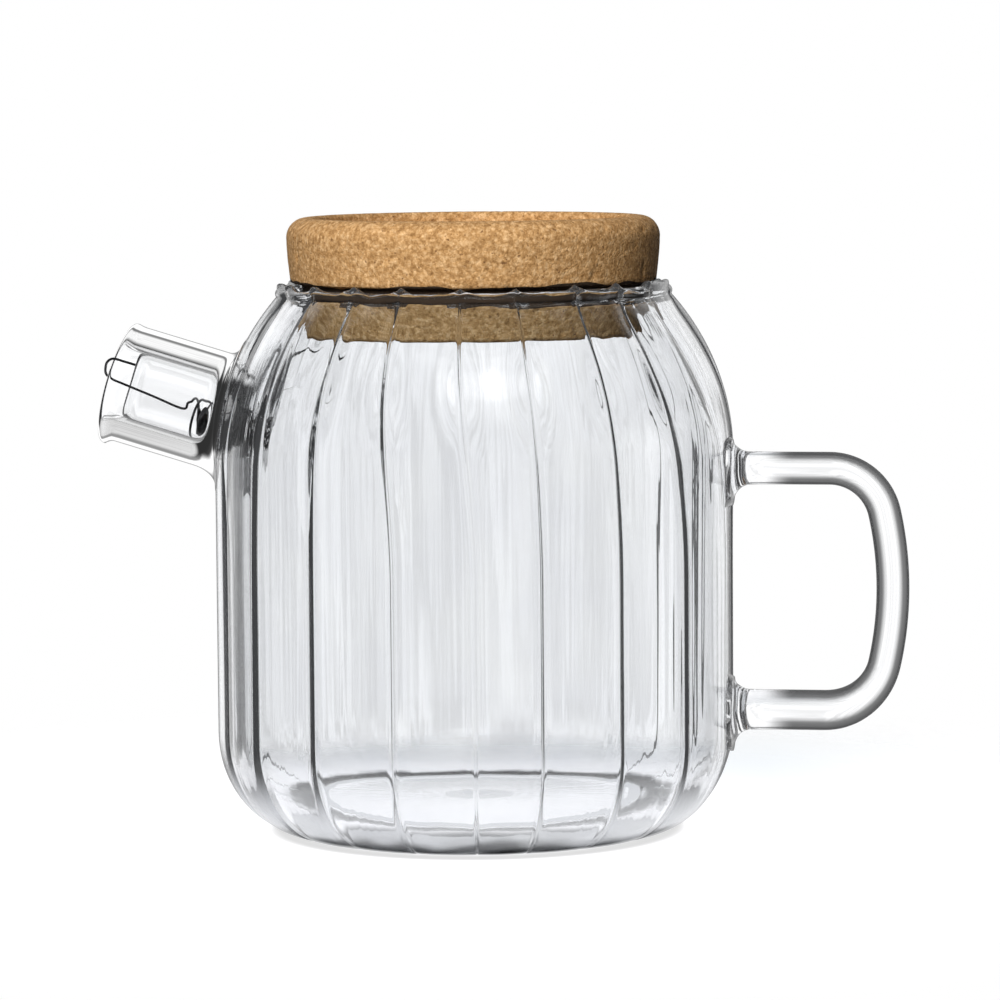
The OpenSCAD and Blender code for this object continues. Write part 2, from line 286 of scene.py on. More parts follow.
LIP_FLARE_TOP = 0.35
LIP_FLARE_BOTTOM = 1.2
LIP_LEN = 3.4
COLLAR_REACH = 5.2
COLLAR_RISE_TOP = 3.0
COLLAR_RISE_BOTTOM = 6.5
SPOUT_SIDES = 128


def tilted(z, tilt, out, up, side):
    """A place in the frame of a tilted axis: out along it, up from it, and to its side."""
    return (-BODY_R - out * math.cos(tilt) + up * math.sin(tilt), -side,
            z + out * math.sin(tilt) + up * math.cos(tilt))


def jar_radius(z):
    """The jar's outer radius over the crests at a height on its wall or shoulder."""
    if z <= SHOULDER_Z:
        return BODY_R
    cx, radius, _ = dome(0, -30)
    return cx + math.sqrt(max(0.0, radius ** 2 - (z - SHOULDER_Z) ** 2))


def on_jar(up, side, inset=0.0):
    """How far out along the spout's axis a line beside it meets the jar's smooth outer form."""
    low, high = -40.0, 20.0
    for _ in range(40):
        out = (low + high) / 2
        x, y, z = tilted(SPOUT_Z, SPOUT_TILT, out, up, side)
        if math.hypot(x, y) < jar_radius(z) - inset:
            low = out
        else:
            high = out
    return out


def spout_ring(radius_of, out_of):
    ring = []
    for i in range(SPOUT_SIDES):
        a = 2 * math.pi * i / SPOUT_SIDES
        radius = radius_of(a)
        up, side = radius * math.cos(a), radius * math.sin(a)
        ring.append(tilted(SPOUT_Z, SPOUT_TILT, out_of(a, up, side), up, side))
    return ring


def lip_flare(a):
    flare = mix(LIP_FLARE_BOTTOM, LIP_FLARE_TOP, 0.5 + 0.5 * math.cos(a))
    return flare * (1 - 0.75 * abs(math.sin(a)))


def make_spout():
    """Tube and weld as one tube: bore, round lip, outside, and a fillet that lands on the jar."""
    lip = (SPOUT_R - BORE_R) / 2
    mid_r = (SPOUT_R + BORE_R) / 2
    rings = []

    def tube(radius, out, flare=0.0):
        rings.append(spout_ring(lambda a: radius + flare * lip_flare(a), lambda a, u, s: out))

    rings.append(spout_ring(lambda a: BORE_R, lambda a, u, s: on_jar(u, s, 1.1)))
    rings.append(spout_ring(lambda a: BORE_R, lambda a, u, s: on_jar(u, s, -0.3)))
    for k in range(1, 8):
        t = k / 8
        rings.append(spout_ring(lambda a: BORE_R,
                                lambda a, u, s, t=t: mix(on_jar(u, s, -0.3), 14.0, t)))
    for out in (14, 16, 18, 20):
        tube(BORE_R, out)
    for k in range(1, 6):
        t = k / 5
        tube(BORE_R, mix(SPOUT_LEN - LIP_LEN, SPOUT_LEN - lip, t), t * t)
    for k in range(1, 10):
        a = math.radians(180 - 20 * k)
        tube(mid_r + lip * math.cos(a), SPOUT_LEN - lip + lip * math.sin(a), 1.0)
    for k in range(4, -1, -1):
        t = k / 5
        tube(SPOUT_R, mix(SPOUT_LEN - LIP_LEN, SPOUT_LEN - lip, t), t * t)
    for out in (20, 18, 16, 14):
        tube(SPOUT_R, out)

    # The weld leaves the tube along it and lands along the jar, on a rounded corner.
    def weld(t):
        def radius_of(a):
            return SPOUT_R + COLLAR_REACH * t * t

        def out_of(a, u, s):
            up, side = SPOUT_R * math.cos(a), SPOUT_R * math.sin(a)
            rise = mix(COLLAR_RISE_BOTTOM, COLLAR_RISE_TOP, 0.5 + 0.5 * math.cos(a))
            start = on_jar(up, side) + rise
            corner = on_jar(up, side)
            end_r = SPOUT_R + COLLAR_REACH
            end = on_jar(end_r * math.cos(a), end_r * math.sin(a))
            return (1 - t) ** 2 * start + 2 * t * (1 - t) * corner + t * t * end
        return radius_of, out_of

    for k in range(0, 15):
        rings.append(spout_ring(*weld(k / 14)))
    end_r = SPOUT_R + COLLAR_REACH
    rings.append(spout_ring(lambda a: end_r + 0.4, lambda a, u, s: on_jar(u, s, 0.15)))
    rings.append(spout_ring(lambda a: end_r + 0.2, lambda a, u, s: on_jar(u, s, 1.1)))
    return loft("spout", rings[::-1], closed=True)


def make_outlet():
    """The hole that the coil sits in, through the jar's wall."""
    rings = []
    for out in (-8.0, 4.0):
        ring = []
        for i in range(64):
            a = 2 * math.pi * i / 64
            ring.append(tilted(COIL_Z, COIL_TILT, out, OUTLET_R * math.cos(a),
                               OUTLET_R * math.sin(a)))
        rings.append(ring)
    return loft("outlet", rings[::-1])


# ---- handle ----

WELD_SAG = 0.7


def handle_arc(x, z, r, start, end, steps):
    """Points along an arc in the handle's plane; angles run clockwise from straight up."""
    turns = [math.radians(mix(start, end, k / steps)) for k in range(steps + 1)]
    return [Vector((x + r * math.sin(a), 0, z + r * math.cos(a))) for a in turns]


def handle_arcs():
    """The top corner, the grip and the bottom corner, as points along the rod's middle."""
    first, second = math.radians(90 - GRIP_LEAN), math.radians(90 + GRIP_LEAN)
    grip_r = ((HANDLE_TOP_Z - HANDLE_BOTTOM_Z - TOP_CORNER_R * (1 - math.cos(first))
               - BOTTOM_CORNER_R * (1 + math.cos(second))) / (math.cos(first) - math.cos(second)))
    grip_cx = BODY_R + HANDLE_REACH - grip_r
    grip_cz = HANDLE_TOP_Z - TOP_CORNER_R - (grip_r - TOP_CORNER_R) * math.cos(first)
    top_x = grip_cx + (grip_r - TOP_CORNER_R) * math.sin(first)
    bottom_x = grip_cx + (grip_r - BOTTOM_CORNER_R) * math.sin(second)
    return (handle_arc(top_x, HANDLE_TOP_Z - TOP_CORNER_R, TOP_CORNER_R, 0, 90 - GRIP_LEAN, 20),
            handle_arc(grip_cx, grip_cz, grip_r, 90 - GRIP_LEAN, 90 + GRIP_LEAN, 22)[1:],
            handle_arc(bottom_x, HANDLE_BOTTOM_Z + BOTTOM_CORNER_R, BOTTOM_CORNER_R,
                       90 + GRIP_LEAN, 180, 20)[1:])


def make_handle():
    upper, grip, lower = handle_arcs()
    start_x = BODY_R + WELD_LEN

    def weld(z, r):
        """The end of the rod and its trumpet, from inside the wall outwards: (place, radius)."""
        out = [(Vector((BODY_R - 1.2, 0, z)), r + WELD_FLARE + 0.3)]
        for k in range(0, 9):
            t = math.radians(10 * k)
            out.append((Vector((BODY_R - 0.3 + (WELD_LEN + 0.3) * (1 - math.cos(t)), 0, z)),
                        r + WELD_FLARE * (1 - math.sin(t))))
        return out

    path = weld(HANDLE_TOP_Z, ROD_R)
    path += [(Vector((mix(start_x, upper[0].x, k / 6), 0, HANDLE_TOP_Z)), ROD_R)
             for k in range(1, 6)]
    path += [(p, ROD_R) for p in upper + grip]
    path += [(p, mix(ROD_R, LOWER_ROD_R, smoothstep(0, 20, k))) for k, p in enumerate(lower, 1)]
    path += [(Vector((mix(lower[-1].x, start_x, k / 6), 0, HANDLE_BOTTOM_Z)), LOWER_ROD_R)
             for k in range(1, 6)]
    path += weld(HANDLE_BOTTOM_Z, LOWER_ROD_R)[::-1]
    sides = 48
    rings = []
    for k, (p, r) in enumerate(path):
        before, after = path[max(k - 1, 0)][0], path[min(k + 1, len(path) - 1)][0]
        along = (after - before).normalized()
        side = Vector((0, 1, 0))
        up = along.cross(side)
        flare = max(0.0, r - (ROD_R if p.z > 56 else LOWER_ROD_R))
        ring = []
        for i in range(sides):
            a = 2 * math.pi * i / sides
            down = (up * math.sin(a)).z
            lump = noise.noise(Vector((p.x / 1.5, 1.5 * math.cos(a), 1.5 * math.sin(a) + p.z)))
            radius = r + flare * (WELD_SAG * max(0.0, -down) + 0.25 * lump)
            ring.append(tuple(p + radius * (math.cos(a) * side + math.sin(a) * up)))
        rings.append(ring)
    return loft("handle", rings)


def make_pot():
    pot = make_jar()
    pot.name = "pot_glass"
    boolean(pot, make_outlet(), "DIFFERENCE")
    boolean(pot, make_spout(), "UNION")
    boolean(pot, make_handle(), "UNION")
    shade(pot)
    return pot


# ---- cork lid ----

CORK_SIDES = 360
SEAT_R = 41.8
# A guessed groove between plug and brim, which gives the dark band under the brim.
NECK_R = 39.4
NECK_DROP = 4.4


def make_cork():
    dish_r = LID_R - RING_W
    profile = [(r, PLUG_Z) for r in (4, 12, 20, 28, 34, 37.5)]
    profile += ellipse(PLUG_R - 1.2, PLUG_Z + 1.2, 1.2, 1.2, -90, 0, 5)
    neck_z = RIM_Z - NECK_DROP
    profile += [(mix(PLUG_R, SEAT_R - 0.5, k / 12), mix(PLUG_Z + 1.2, neck_z, k / 12))
                for k in range(1, 13)]
    profile += [(SEAT_R - 1.4, neck_z + 0.4), (NECK_R, neck_z + 1.2), (NECK_R, RIM_Z - 0.3),
                (NECK_R + 0.4, RIM_Z + 0.3), (SEAT_R - 0.6, RIM_Z + 0.5), (SEAT_R, RIM_Z + 0.7)]
    profile += [(mix(SEAT_R, LID_R, smoothstep(-0.4, 1, k / 12)),
                 mix(RIM_Z, LID_TOP - LID_ROUND, k / 12)) for k in range(1, 12)]
    profile += ellipse(LID_R - LID_ROUND, LID_TOP - LID_ROUND, LID_ROUND, LID_ROUND, 0, 90, 14)
    profile += ellipse(dish_r + 1.0, LID_TOP - 1.0, 1.0, 1.0, 90, 180, 6)
    profile += [(dish_r, LID_TOP - 1.0 - 0.5 * k) for k in range(1, 3)]
    floor_z = LID_TOP - DISH_DEPTH
    profile += ellipse(dish_r - 0.8, floor_z + 0.8, 0.8, -0.8, 0, 90, 4)
    profile += [(r, floor_z) for r in (33, 30, 26, 22, 17, 12, 7, 3)]
    rings = []
    for r, z in profile:
        ring = []
        for i in range(CORK_SIDES):
            a = 2 * math.pi * i / CORK_SIDES
            p = Vector((r * math.cos(a), r * math.sin(a), z))
            grain = noise.noise(p * 0.9) * 0.5 + noise.noise(p * 2.1) * 0.35
            pit = max(0.0, noise.noise(p * 0.55 + Vector((7, 3, 1))) - 0.42)
            inward = 0.07 - 0.09 * grain + 1.6 * pit
            flat = smoothstep(0, 1, min(1.0, r / 10))
            shrunk = 1 - inward * flat / max(r, 1)
            ring.append((p.x * shrunk, p.y * shrunk, z - (0.5 * inward if z > 130 else 0)))
        rings.append(ring)
    cork = loft("cork_lid_piece", rings)
    shade(cork, 75)
    return cork


# ---- strainer ----


def in_spout(out, up, side):
    return Vector(tilted(SPOUT_Z, SPOUT_TILT, out, up, side))


def in_coil(out, up, side):
    return Vector(tilted(COIL_Z, COIL_TILT, out, up, side))


def smooth_curve(points, steps):
    out = []
    for j in range(len(points) - 1):
        a, b = points[max(j - 1, 0)], points[j]
        c, d = points[j + 1], points[min(j + 2, len(points) - 1)]
        for k in range(steps):
            t = k / steps
            out.append(0.5 * (2 * b + (c - a) * t + (2 * a - 5 * b + 4 * c - d) * t * t
                              + (3 * b - a - 3 * c + d) * t * t * t))
    return out


def strainer_path():
    hook_gap = 0.5
    leg_up, leg_len, inner_up = 6.4, 5.8, 1.3
    outer_r = SPOUT_R + 0.6 + hook_gap + WIRE_R
    inner_r = BORE_R - hook_gap - WIRE_R
    outer_side = math.sqrt(outer_r ** 2 - leg_up ** 2)
    inner_side = math.sqrt(inner_r ** 2 - inner_up ** 2)
    over = hook_gap + WIRE_R
    tail = in_coil(COIL_OUT + 1.4, 2.9, COIL_R - 0.8)
    inner_end = in_spout(SPOUT_LEN - 3.5, inner_up - 0.4, inner_side - 0.5)
    hook = [in_spout(SPOUT_LEN - leg_len, leg_up, outer_side),
            in_spout(SPOUT_LEN - leg_len / 2, leg_up, outer_side),
            in_spout(SPOUT_LEN - 0.4, leg_up - 0.1, outer_side),
            in_spout(SPOUT_LEN + over, leg_up - 1.2, outer_side - 0.3),
            in_spout(SPOUT_LEN + over + 0.3, leg_up - 2.8, mix(outer_side, inner_side, 0.5)),
            in_spout(SPOUT_LEN + over, leg_up - 4.3, inner_side + 0.3),
            in_spout(SPOUT_LEN - 0.8, inner_up, inner_side),
            inner_end, (inner_end + tail) / 2, tail, in_coil(COIL_OUT + 0.7, 4.3, COIL_R - 2.2)]
    per_turn = 32
    coil = []
    for k in range(COIL_TURNS * per_turn):
        a = math.radians(COIL_START + 360 * k / per_turn)
        coil.append(in_coil(COIL_OUT - COIL_PITCH * k / per_turn,
                            COIL_R * math.sin(a), COIL_R * math.cos(a)))
    length = COIL_PITCH * COIL_TURNS
    for k in range(NOSE_TURNS * per_turn + 1):
        a = math.radians(COIL_START + 360 * k / per_turn)
        t = math.radians(82 * k / (NOSE_TURNS * per_turn))
        r = COIL_R * math.cos(t)
        coil.append(in_coil(COIL_OUT - length - NOSE_LEN * math.sin(t),
                            r * math.sin(a), r * math.cos(a)))
    return smooth_curve(hook + [coil[0]], 8) + coil


def make_strainer():
    path = strainer_path()
    sides = 12
    across = None
    rings = []
    for k, p in enumerate(path):
        along = (path[min(k + 1, len(path) - 1)] - path[max(k - 1, 0)]).normalized()
        across = across or along.orthogonal()
        across = (across - along * across.dot(along)).normalized()
        other = along.cross(across)
        rings.append([tuple(p + WIRE_R * (math.cos(2 * math.pi * i / sides) * across
                                          + math.sin(2 * math.pi * i / sides) * other))
                      for i in range(sides)])
    wire = loft("strainer_wire", rings)
    shade(wire)
    return wire


# ---- materials ----


def new_material(name):
    material = bpy.data.materials.new(name)
    material.use_nodes = True
    nodes = material.node_tree.nodes
    nodes.clear()
    return material, nodes, material.node_tree.links


def node(nodes, kind, **values):
    """A node with its properties, and its inputs by name, set."""
    made = nodes.new(kind)
    for key, value in values.items():
        if key in made.inputs:
            made.inputs[key].default_value = value
        else:
            setattr(made, key, value)
    return made


def feed(value, socket):
    """Sets a socket to a number, or links an output to it."""
    if isinstance(value, (int, float)):
        socket.default_value = value
    else:
        socket.id_data.links.new(value, socket)


def fade(nodes, value, low, high, to_min=0.0, to_max=1.0, kind="SMOOTHSTEP"):
    made = node(nodes, "ShaderNodeMapRange", interpolation_type=kind)
    feed(value, made.inputs["Value"])
    for key, number in (("From Min", low), ("From Max", high), ("To Min", to_min),
                        ("To Max", to_max)):
        made.inputs[key].default_value = number
    return made.outputs["Result"]


def combine(nodes, operation, *values):
    made = node(nodes, "ShaderNodeMath", operation=operation)
    for slot, value in enumerate(values):
        feed(value, made.inputs[slot])
    return made.outputs["Value"]


def axes_of(nodes, place):
    split = nodes.new("ShaderNodeSeparateXYZ")
    feed(place, split.inputs["Vector"])
    return split.outputs["X"], split.outputs["Y"], split.outputs["Z"]


def wandering_height(nodes, place, height, amount):
    """The height, with a slow noise added that keeps a coloured band's edge from being straight."""
    noise_node = node(nodes, "ShaderNodeTexNoise", Scale=75.0, Detail=1.0)
    feed(place, noise_node.inputs["Vector"])
    return combine(nodes, "MULTIPLY_ADD", noise_node.outputs["Fac"], amount, height)


def ramp(nodes, stops):
    made = nodes.new("ShaderNodeValToRGB")
    elements = made.color_ramp.elements
    while len(elements) < len(stops):
        elements.new(0.5)
    for element, (place, colour) in zip(elements, stops):
        element.position = place
        element.color = (*colour, 1)
    return made


def glass_material():
    """Clear borosilicate with a faint cool tint and waves. Four greys are painted shade and light,
    not
    refraction: on grazed glass, at the rod's edges, at the base's turn, and after many hits."""
    material, nodes, links = new_material("clear_glass_look")
    place = nodes.new("ShaderNodeTexCoord").outputs["Object"]
    x, y, z = axes_of(nodes, place)
    waves = node(nodes, "ShaderNodeTexNoise", Scale=55.0, Detail=2.0)
    links.new(place, waves.inputs["Vector"])
    tint = ramp(nodes, [(0.3, (0.975, 0.98, 0.99)), (0.7, (0.99, 0.995, 1.0))])
    links.new(waves.outputs["Fac"], tint.inputs["Fac"])
    unrolled = nodes.new("ShaderNodeCombineXYZ")
    links.new(combine(nodes, "ARCTAN2", y, x), unrolled.inputs["X"])
    links.new(z, unrolled.inputs["Y"])
    drawn = node(nodes, "ShaderNodeMapping")
    drawn.inputs["Scale"].default_value = (18, 6, 1)
    links.new(unrolled.outputs["Vector"], drawn.inputs["Vector"])
    lines = node(nodes, "ShaderNodeTexNoise", Scale=1.0, Detail=2.0)
    links.new(drawn.outputs["Vector"], lines.inputs["Vector"])
    bump = node(nodes, "ShaderNodeBump", Strength=1.0, Distance=0.00003)
    links.new(lines.outputs["Fac"], bump.inputs["Height"])
    # Painted shade: the glass colour is darkened at the turn of the base, outside the flat that it
    # stands on, as contact shadow.
    base_turn_shade = fade(nodes, wandering_height(nodes, place, z, 0.005), 0.0052, 0.0032, 0.0, 0.97)
    level = node(nodes, "ShaderNodeVectorMath", operation="MULTIPLY")
    level.inputs[1].default_value = (1, 1, 0)
    links.new(place, level.inputs[0])
    radius = node(nodes, "ShaderNodeVectorMath", operation="LENGTH")
    links.new(level.outputs["Vector"], radius.inputs[0])
    outward = fade(nodes, radius.outputs["Value"], 0.0395, 0.0415, kind="LINEAR")
    base_painted_shade = node(nodes, "ShaderNodeMix", data_type="RGBA")
    base_painted_shade.inputs[7].default_value = (0.1, 0.103, 0.108, 1)
    links.new(combine(nodes, "MULTIPLY", base_turn_shade, outward), base_painted_shade.inputs[0])
    links.new(tint.outputs["Color"], base_painted_shade.inputs[6])
    glass = nodes.new("ShaderNodeBsdfPrincipled")
    glass.inputs["Transmission Weight"].default_value = 1.0
    glass.inputs["Roughness"].default_value = 0.0
    glass.inputs["IOR"].default_value = 1.47
    links.new(base_painted_shade.outputs[2], glass.inputs["Base Color"])
    links.new(bump.outputs["Normal"], glass.inputs["Normal"])
    # Painted shade and light: a grey glow takes the glass's place where it is looked along, at both
    # edges of the handle's rod, and after nine hits, at an average level: dark up the wall, light
    # near the base.
    facing = node(nodes, "ShaderNodeLayerWeight", Blend=0.5).outputs["Facing"]
    grazed = fade(nodes, facing, 0.78, 0.93, 0.0, 0.8)
    rod_edge = fade(nodes, facing, 0.02, 0.26, 0.0, 0.8)
    rod_dim = combine(nodes, "MULTIPLY", rod_edge, fade(nodes, x, 0.066, 0.074))
    path = nodes.new("ShaderNodeLightPath")
    lost = combine(nodes, "GREATER_THAN", path.outputs["Ray Depth"], 9.0)
    dim = combine(nodes, "MAXIMUM", combine(nodes, "MAXIMUM", lost, grazed), rod_dim)
    painted_grey_glow = node(nodes, "ShaderNodeEmission", Color=(0.97, 0.98, 1.0, 1))
    links.new(fade(nodes, z, 0.004, 0.016, 0.72, 0.06), painted_grey_glow.inputs["Strength"])
    glass_or_painted_grey = nodes.new("ShaderNodeMixShader")
    links.new(dim, glass_or_painted_grey.inputs["Fac"])
    links.new(glass.outputs["BSDF"], glass_or_painted_grey.inputs[1])
    links.new(painted_grey_glow.outputs["Emission"], glass_or_painted_grey.inputs[2])
    # Lamps shine through, so that the glass casts only a faint shadow.
    clear = node(nodes, "ShaderNodeBsdfTransparent", Color=(0.9, 0.93, 0.95, 1))
    both = nodes.new("ShaderNodeMixShader")
    links.new(path.outputs["Is Shadow Ray"], both.inputs["Fac"])
    links.new(glass_or_painted_grey.outputs["Shader"], both.inputs[1])
    links.new(clear.outputs["BSDF"], both.inputs[2])
    out = nodes.new("ShaderNodeOutputMaterial")
    links.new(both.outputs["Shader"], out.inputs["Surface"])
    return material


def cork_material():
    """Pressed cork granules: pale grains, darker bark specks, small pits between them."""
    material, nodes, links = new_material("cork_look")
    where = nodes.new("ShaderNodeTexCoord")
    grains = node(nodes, "ShaderNodeTexVoronoi", Scale=1250.0, Randomness=1.0)
    seams = node(nodes, "ShaderNodeTexVoronoi", feature="DISTANCE_TO_EDGE", Scale=1250.0)
    cloud = node(nodes, "ShaderNodeTexNoise", Scale=900.0, Detail=8.0, Roughness=0.7)
    fine = node(nodes, "ShaderNodeTexNoise", Scale=1500.0, Detail=4.0, Roughness=0.6)
    specks = node(nodes, "ShaderNodeTexNoise", Scale=1000.0, Detail=3.0, Roughness=0.6)
    for texture in (grains, seams, cloud, fine, specks):
        links.new(where.outputs["Object"], texture.inputs["Vector"])
    base = ramp(nodes, [(0.36, (0.30, 0.16, 0.06)), (0.5, (0.50, 0.29, 0.125)),
                        (0.64, (0.72, 0.48, 0.26))])
    links.new(cloud.outputs["Fac"], base.inputs["Fac"])
    grain_tone = ramp(nodes, [(0.0, (0.82, 0.78, 0.72)), (1.0, (1.12, 1.1, 1.06))])
    split = nodes.new("ShaderNodeSeparateColor")
    links.new(grains.outputs["Color"], split.inputs["Color"])
    links.new(split.outputs["Red"], grain_tone.inputs["Fac"])
    toned = node(nodes, "ShaderNodeMix", data_type="RGBA", blend_type="MULTIPLY")
    toned.inputs[0].default_value = 1.0
    links.new(base.outputs["Color"], toned.inputs[6])
    links.new(grain_tone.outputs["Color"], toned.inputs[7])
    speck_mask = ramp(nodes, [(0.3, (1, 1, 1)), (0.38, (0, 0, 0))])
    links.new(specks.outputs["Fac"], speck_mask.inputs["Fac"])
    dark = node(nodes, "ShaderNodeMix", data_type="RGBA")
    dark.inputs[7].default_value = (0.2, 0.1, 0.04, 1)
    links.new(speck_mask.outputs["Color"], dark.inputs[0])
    links.new(toned.outputs[2], dark.inputs[6])
    bump = node(nodes, "ShaderNodeBump", Strength=0.35, Distance=0.0006)
    links.new(combine(nodes, "ADD", seams.outputs["Distance"], fine.outputs["Fac"]),
              bump.inputs["Height"])
    # Painted shade on the neck between plug and brim, as the brim's shadow: middle and half width
    # of its band, in metres.
    place = where.outputs["Object"]
    height = wandering_height(nodes, place, axes_of(nodes, place)[2], 0.004)
    neck_painted_shade = node(nodes, "ShaderNodeMix", data_type="RGBA")
    neck_painted_shade.inputs[7].default_value = (0.045, 0.03, 0.02, 1)
    links.new(combine(nodes, "COMPARE", height, 0.1264, 0.0024), neck_painted_shade.inputs[0])
    links.new(dark.outputs[2], neck_painted_shade.inputs[6])
    skin = nodes.new("ShaderNodeBsdfPrincipled")
    skin.inputs["Roughness"].default_value = 0.85
    skin.inputs["Specular IOR Level"].default_value = 0.25
    links.new(neck_painted_shade.outputs[2], skin.inputs["Base Color"])
    links.new(bump.outputs["Normal"], skin.inputs["Normal"])
    out = nodes.new("ShaderNodeOutputMaterial")
    links.new(skin.outputs["BSDF"], out.inputs["Surface"])
    return material


def steel_material():
    """Drawn stainless wire, a little dulled."""
    material, nodes, links = new_material("steel_wire_look")
    where = nodes.new("ShaderNodeTexCoord")
    scratch = node(nodes, "ShaderNodeTexNoise", Scale=900.0, Detail=4.0)
    links.new(where.outputs["Object"], scratch.inputs["Vector"])
    tone = ramp(nodes, [(0.3, (0.07, 0.07, 0.075)), (0.7, (0.15, 0.15, 0.155))])
    links.new(scratch.outputs["Fac"], tone.inputs["Fac"])
    rough = fade(nodes, scratch.outputs["Fac"], 0.0, 1.0, 0.28, 0.45, kind="LINEAR")
    skin = nodes.new("ShaderNodeBsdfPrincipled")
    skin.inputs["Metallic"].default_value = 1.0
    links.new(tone.outputs["Color"], skin.inputs["Base Color"])
    links.new(rough, skin.inputs["Roughness"])
    out = nodes.new("ShaderNodeOutputMaterial")
    links.new(skin.outputs["BSDF"], out.inputs["Surface"])
    return material


# ---- studio ----

CAMERA_PLACE = Vector((170.0, -1073.6, 174.0))
CAMERA_TARGET = Vector((5.63, 0.89, 76.0))
CAMERA_ROLL = -0.45
CAMERA_LENS = 170.2


def make_world():
    """White to the camera. Rays from glass see a bright field behind the object, as the photo's
    camera has it, and a dark room round it; rays from matt surfaces see almost nothing."""
    world = bpy.data.worlds.new("studio")
    bpy.context.scene.world = world
    world.use_nodes = True
    nodes, links = world.node_tree.nodes, world.node_tree.links
    nodes.clear()
    path = nodes.new("ShaderNodeLightPath")
    where = nodes.new("ShaderNodeTexCoord")

    def toward(azimuth, height):
        """The cosine between a ray and a direction, in degrees from the handle and from level."""
        a, h = math.radians(azimuth), math.radians(height)
        dot = node(nodes, "ShaderNodeVectorMath", operation="DOT_PRODUCT")
        links.new(where.outputs["Generated"], dot.inputs[0])
        dot.inputs[1].default_value = (math.cos(a) * math.cos(h), math.sin(a) * math.cos(h),
                                       math.sin(h))
        return dot.outputs["Value"]

    # A light tent behind, dimmer at its sides and top, with the dark room on the camera's side;
    # a pale table below; faint upright bands, so that blown glass shows its unevenness; and a
    # soft box over the camera.
    field = fade(nodes, toward(99, -5), 0.28, 0.64)
    for side, low, high, rest in (((189, 0), 0.64, 0.8, 0.03), ((9, 0), 0.66, 0.82, 0.12),
                                  ((0, 90), 0.64, 0.71, 0.2), ((0, -90), 0.64, 0.71, 0.25)):
        dimmer = fade(nodes, toward(*side), low, high, 1.0, rest)
        field = combine(nodes, "MULTIPLY", field, dimmer)
    table = fade(nodes, toward(0, -90), 0.74, 0.84, 0.0, 0.6)
    ceiling = combine(nodes, "MULTIPLY", fade(nodes, toward(0, 90), 0.74, 0.84, 0.0, 0.85),
                      fade(nodes, toward(99, 0), -0.05, 0.2))
    far_right = fade(nodes, toward(9, 0), 0.95, 0.99, 0.0, 0.7)
    for other in (table, ceiling, far_right):
        field = combine(nodes, "MAXIMUM", field, other)
    bands = node(nodes, "ShaderNodeTexNoise", Scale=1.0, Detail=2.0)
    stretched = node(nodes, "ShaderNodeVectorMath", operation="MULTIPLY")
    stretched.inputs[1].default_value = (40, 40, 3)
    links.new(where.outputs["Generated"], stretched.inputs[0])
    links.new(stretched.outputs["Vector"], bands.inputs["Vector"])
    banded = fade(nodes, bands.outputs["Fac"], 0.36, 0.64, 0.95, 1.2)
    field = combine(nodes, "MULTIPLY", field, banded)
    box = combine(nodes, "MULTIPLY", fade(nodes, toward(287, 40), 0.93, 0.998), 0.9)
    core = combine(nodes, "MULTIPLY", fade(nodes, toward(287, 40), 0.988, 0.9995), 2.5)
    level = combine(nodes, "ADD", field, 0.03)
    for lamp in (box, core):
        level = combine(nodes, "ADD", level, lamp)
    glassy = combine(nodes, "MAXIMUM", path.outputs["Is Glossy Ray"],
                     path.outputs["Is Transmission Ray"])
    seen = node(nodes, "ShaderNodeMix", data_type="FLOAT")
    links.new(glassy, seen.inputs[0])
    seen.inputs[2].default_value = 0.07
    links.new(level, seen.inputs[3])
    final = node(nodes, "ShaderNodeMix", data_type="FLOAT")
    links.new(path.outputs["Is Camera Ray"], final.inputs[0])
    links.new(seen.outputs[0], final.inputs[2])
    final.inputs[3].default_value = 1.0
    back = node(nodes, "ShaderNodeBackground", Color=(1, 1, 1, 1))
    links.new(final.outputs[0], back.inputs["Strength"])
    out = nodes.new("ShaderNodeOutputWorld")
    links.new(back.outputs["Background"], out.inputs["Surface"])


FLOOR_R = 240.0


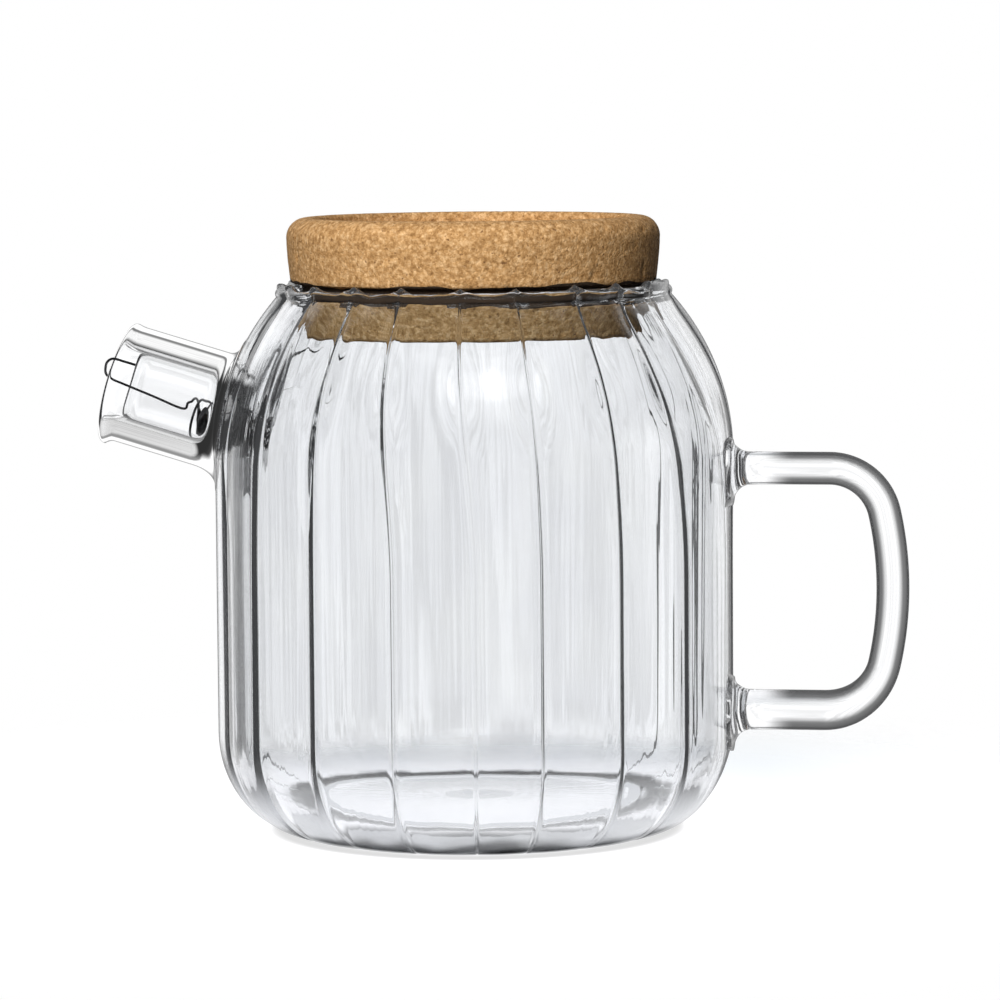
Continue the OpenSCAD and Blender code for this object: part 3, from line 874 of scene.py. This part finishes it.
def make_floor():
    """A pale table that keeps the object's shadow and fades out into the white round it."""
    rings = [[(r * math.cos(2 * math.pi * i / 96), r * math.sin(2 * math.pi * i / 96), -0.02)
              for i in range(96)] for r in (FLOOR_R, 160.0, 80.0, 20.0)]
    floor = loft("floor", rings)
    material, nodes, links = new_material("floor_look")
    where = nodes.new("ShaderNodeTexCoord")
    length = node(nodes, "ShaderNodeVectorMath", operation="LENGTH")
    links.new(where.outputs["Object"], length.inputs[0])
    from_middle = length.outputs["Value"]
    camera_ray = nodes.new("ShaderNodeLightPath").outputs["Is Camera Ray"]
    reach = fade(nodes, camera_ray, 0.0, 1.0, 1.7, 1.0, kind="LINEAR")
    faded = fade(nodes, combine(nodes, "MULTIPLY", from_middle, reach), 0.09, 0.22)
    diffuse = node(nodes, "ShaderNodeBsdfDiffuse", Color=(0.6, 0.6, 0.61, 1))
    looked_at = fade(nodes, camera_ray, 0.0, 1.0, 0.46, 0.72, kind="LINEAR")
    # Painted contact shadow: a darker ring painted into the floor's colour and glow round the base,
    # which rays through glass meet.
    away = combine(nodes, "ABSOLUTE", combine(nodes, "SUBTRACT", from_middle, 0.0445))
    shown = combine(nodes, "MAXIMUM", fade(nodes, away, 0.001, 0.0055, 0.05, 1.0), camera_ray)
    ring_painted_shadow = node(nodes, "ShaderNodeBsdfDiffuse", Color=(0.25, 0.25, 0.255, 1))
    table = nodes.new("ShaderNodeMixShader")
    links.new(shown, table.inputs["Fac"])
    links.new(ring_painted_shadow.outputs["BSDF"], table.inputs[1])
    links.new(diffuse.outputs["BSDF"], table.inputs[2])
    glow = node(nodes, "ShaderNodeEmission", Color=(1, 1, 1, 1))
    links.new(combine(nodes, "MULTIPLY", looked_at, shown), glow.inputs["Strength"])
    clear = nodes.new("ShaderNodeBsdfTransparent")
    both = nodes.new("ShaderNodeAddShader")
    links.new(table.outputs["Shader"], both.inputs[0])
    links.new(glow.outputs["Emission"], both.inputs[1])
    edge = nodes.new("ShaderNodeMixShader")
    links.new(faded, edge.inputs["Fac"])
    links.new(both.outputs["Shader"], edge.inputs[1])
    links.new(clear.outputs["BSDF"], edge.inputs[2])
    out = nodes.new("ShaderNodeOutputMaterial")
    links.new(edge.outputs["Shader"], out.inputs["Surface"])
    floor.data.materials.append(material)


def area_lamp(name, place, target, size, power):
    data = bpy.data.lights.new(name, "AREA")
    data.shape = "RECTANGLE"
    data.size, data.size_y = size
    data.energy = power
    lamp = bpy.data.objects.new(name, data)
    bpy.context.scene.collection.objects.link(lamp)
    lamp.location = place
    lamp.visible_glossy = False
    lamp.visible_transmission = False
    lamp.rotation_euler = (Vector(target) - Vector(place)).to_track_quat("-Z", "Y").to_euler()


def make_camera():
    data = bpy.data.cameras.new("camera")
    data.lens = CAMERA_LENS
    data.sensor_width = 36.0
    camera = bpy.data.objects.new("camera", data)
    bpy.context.scene.collection.objects.link(camera)
    place = CAMERA_PLACE * MM
    camera.location = place
    aim = (CAMERA_TARGET * MM - place).to_track_quat("-Z", "Y").to_matrix().to_4x4()
    camera.rotation_euler = (aim @ Matrix.Rotation(math.radians(CAMERA_ROLL), 4, "Z")).to_euler()
    bpy.context.scene.camera = camera


pot = make_pot()
pot.data.materials.clear()
pot.data.materials.append(glass_material())
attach(pot, "pot")
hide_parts("glass_body", "spout_tube", "spout_collar", "handle_rod", "handle_upper_weld",
            "handle_lower_weld")

cork = make_cork()
cork.data.materials.append(cork_material())
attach(cork, "lid")
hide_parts("cork_lid")

wire = make_strainer()
wire.data.materials.append(steel_material())
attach(wire, "strainer")
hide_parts("spout_strainer")

make_world()
make_floor()
area_lamp("key", (-0.15, -1.0, 0.62), (0, 0, 0.08), (0.45, 0.45), 17.5)
area_lamp("top", (-0.2, 0.3, 0.9), (0, 0, 0.08), (0.7, 0.7), 0.8)
make_camera()

scene = bpy.context.scene
scene.view_settings.view_transform = "Standard"
scene.cycles.max_bounces = 32
scene.cycles.transmission_bounces = 32
scene.cycles.glossy_bounces = 32
scene.cycles.transparent_max_bounces = 16
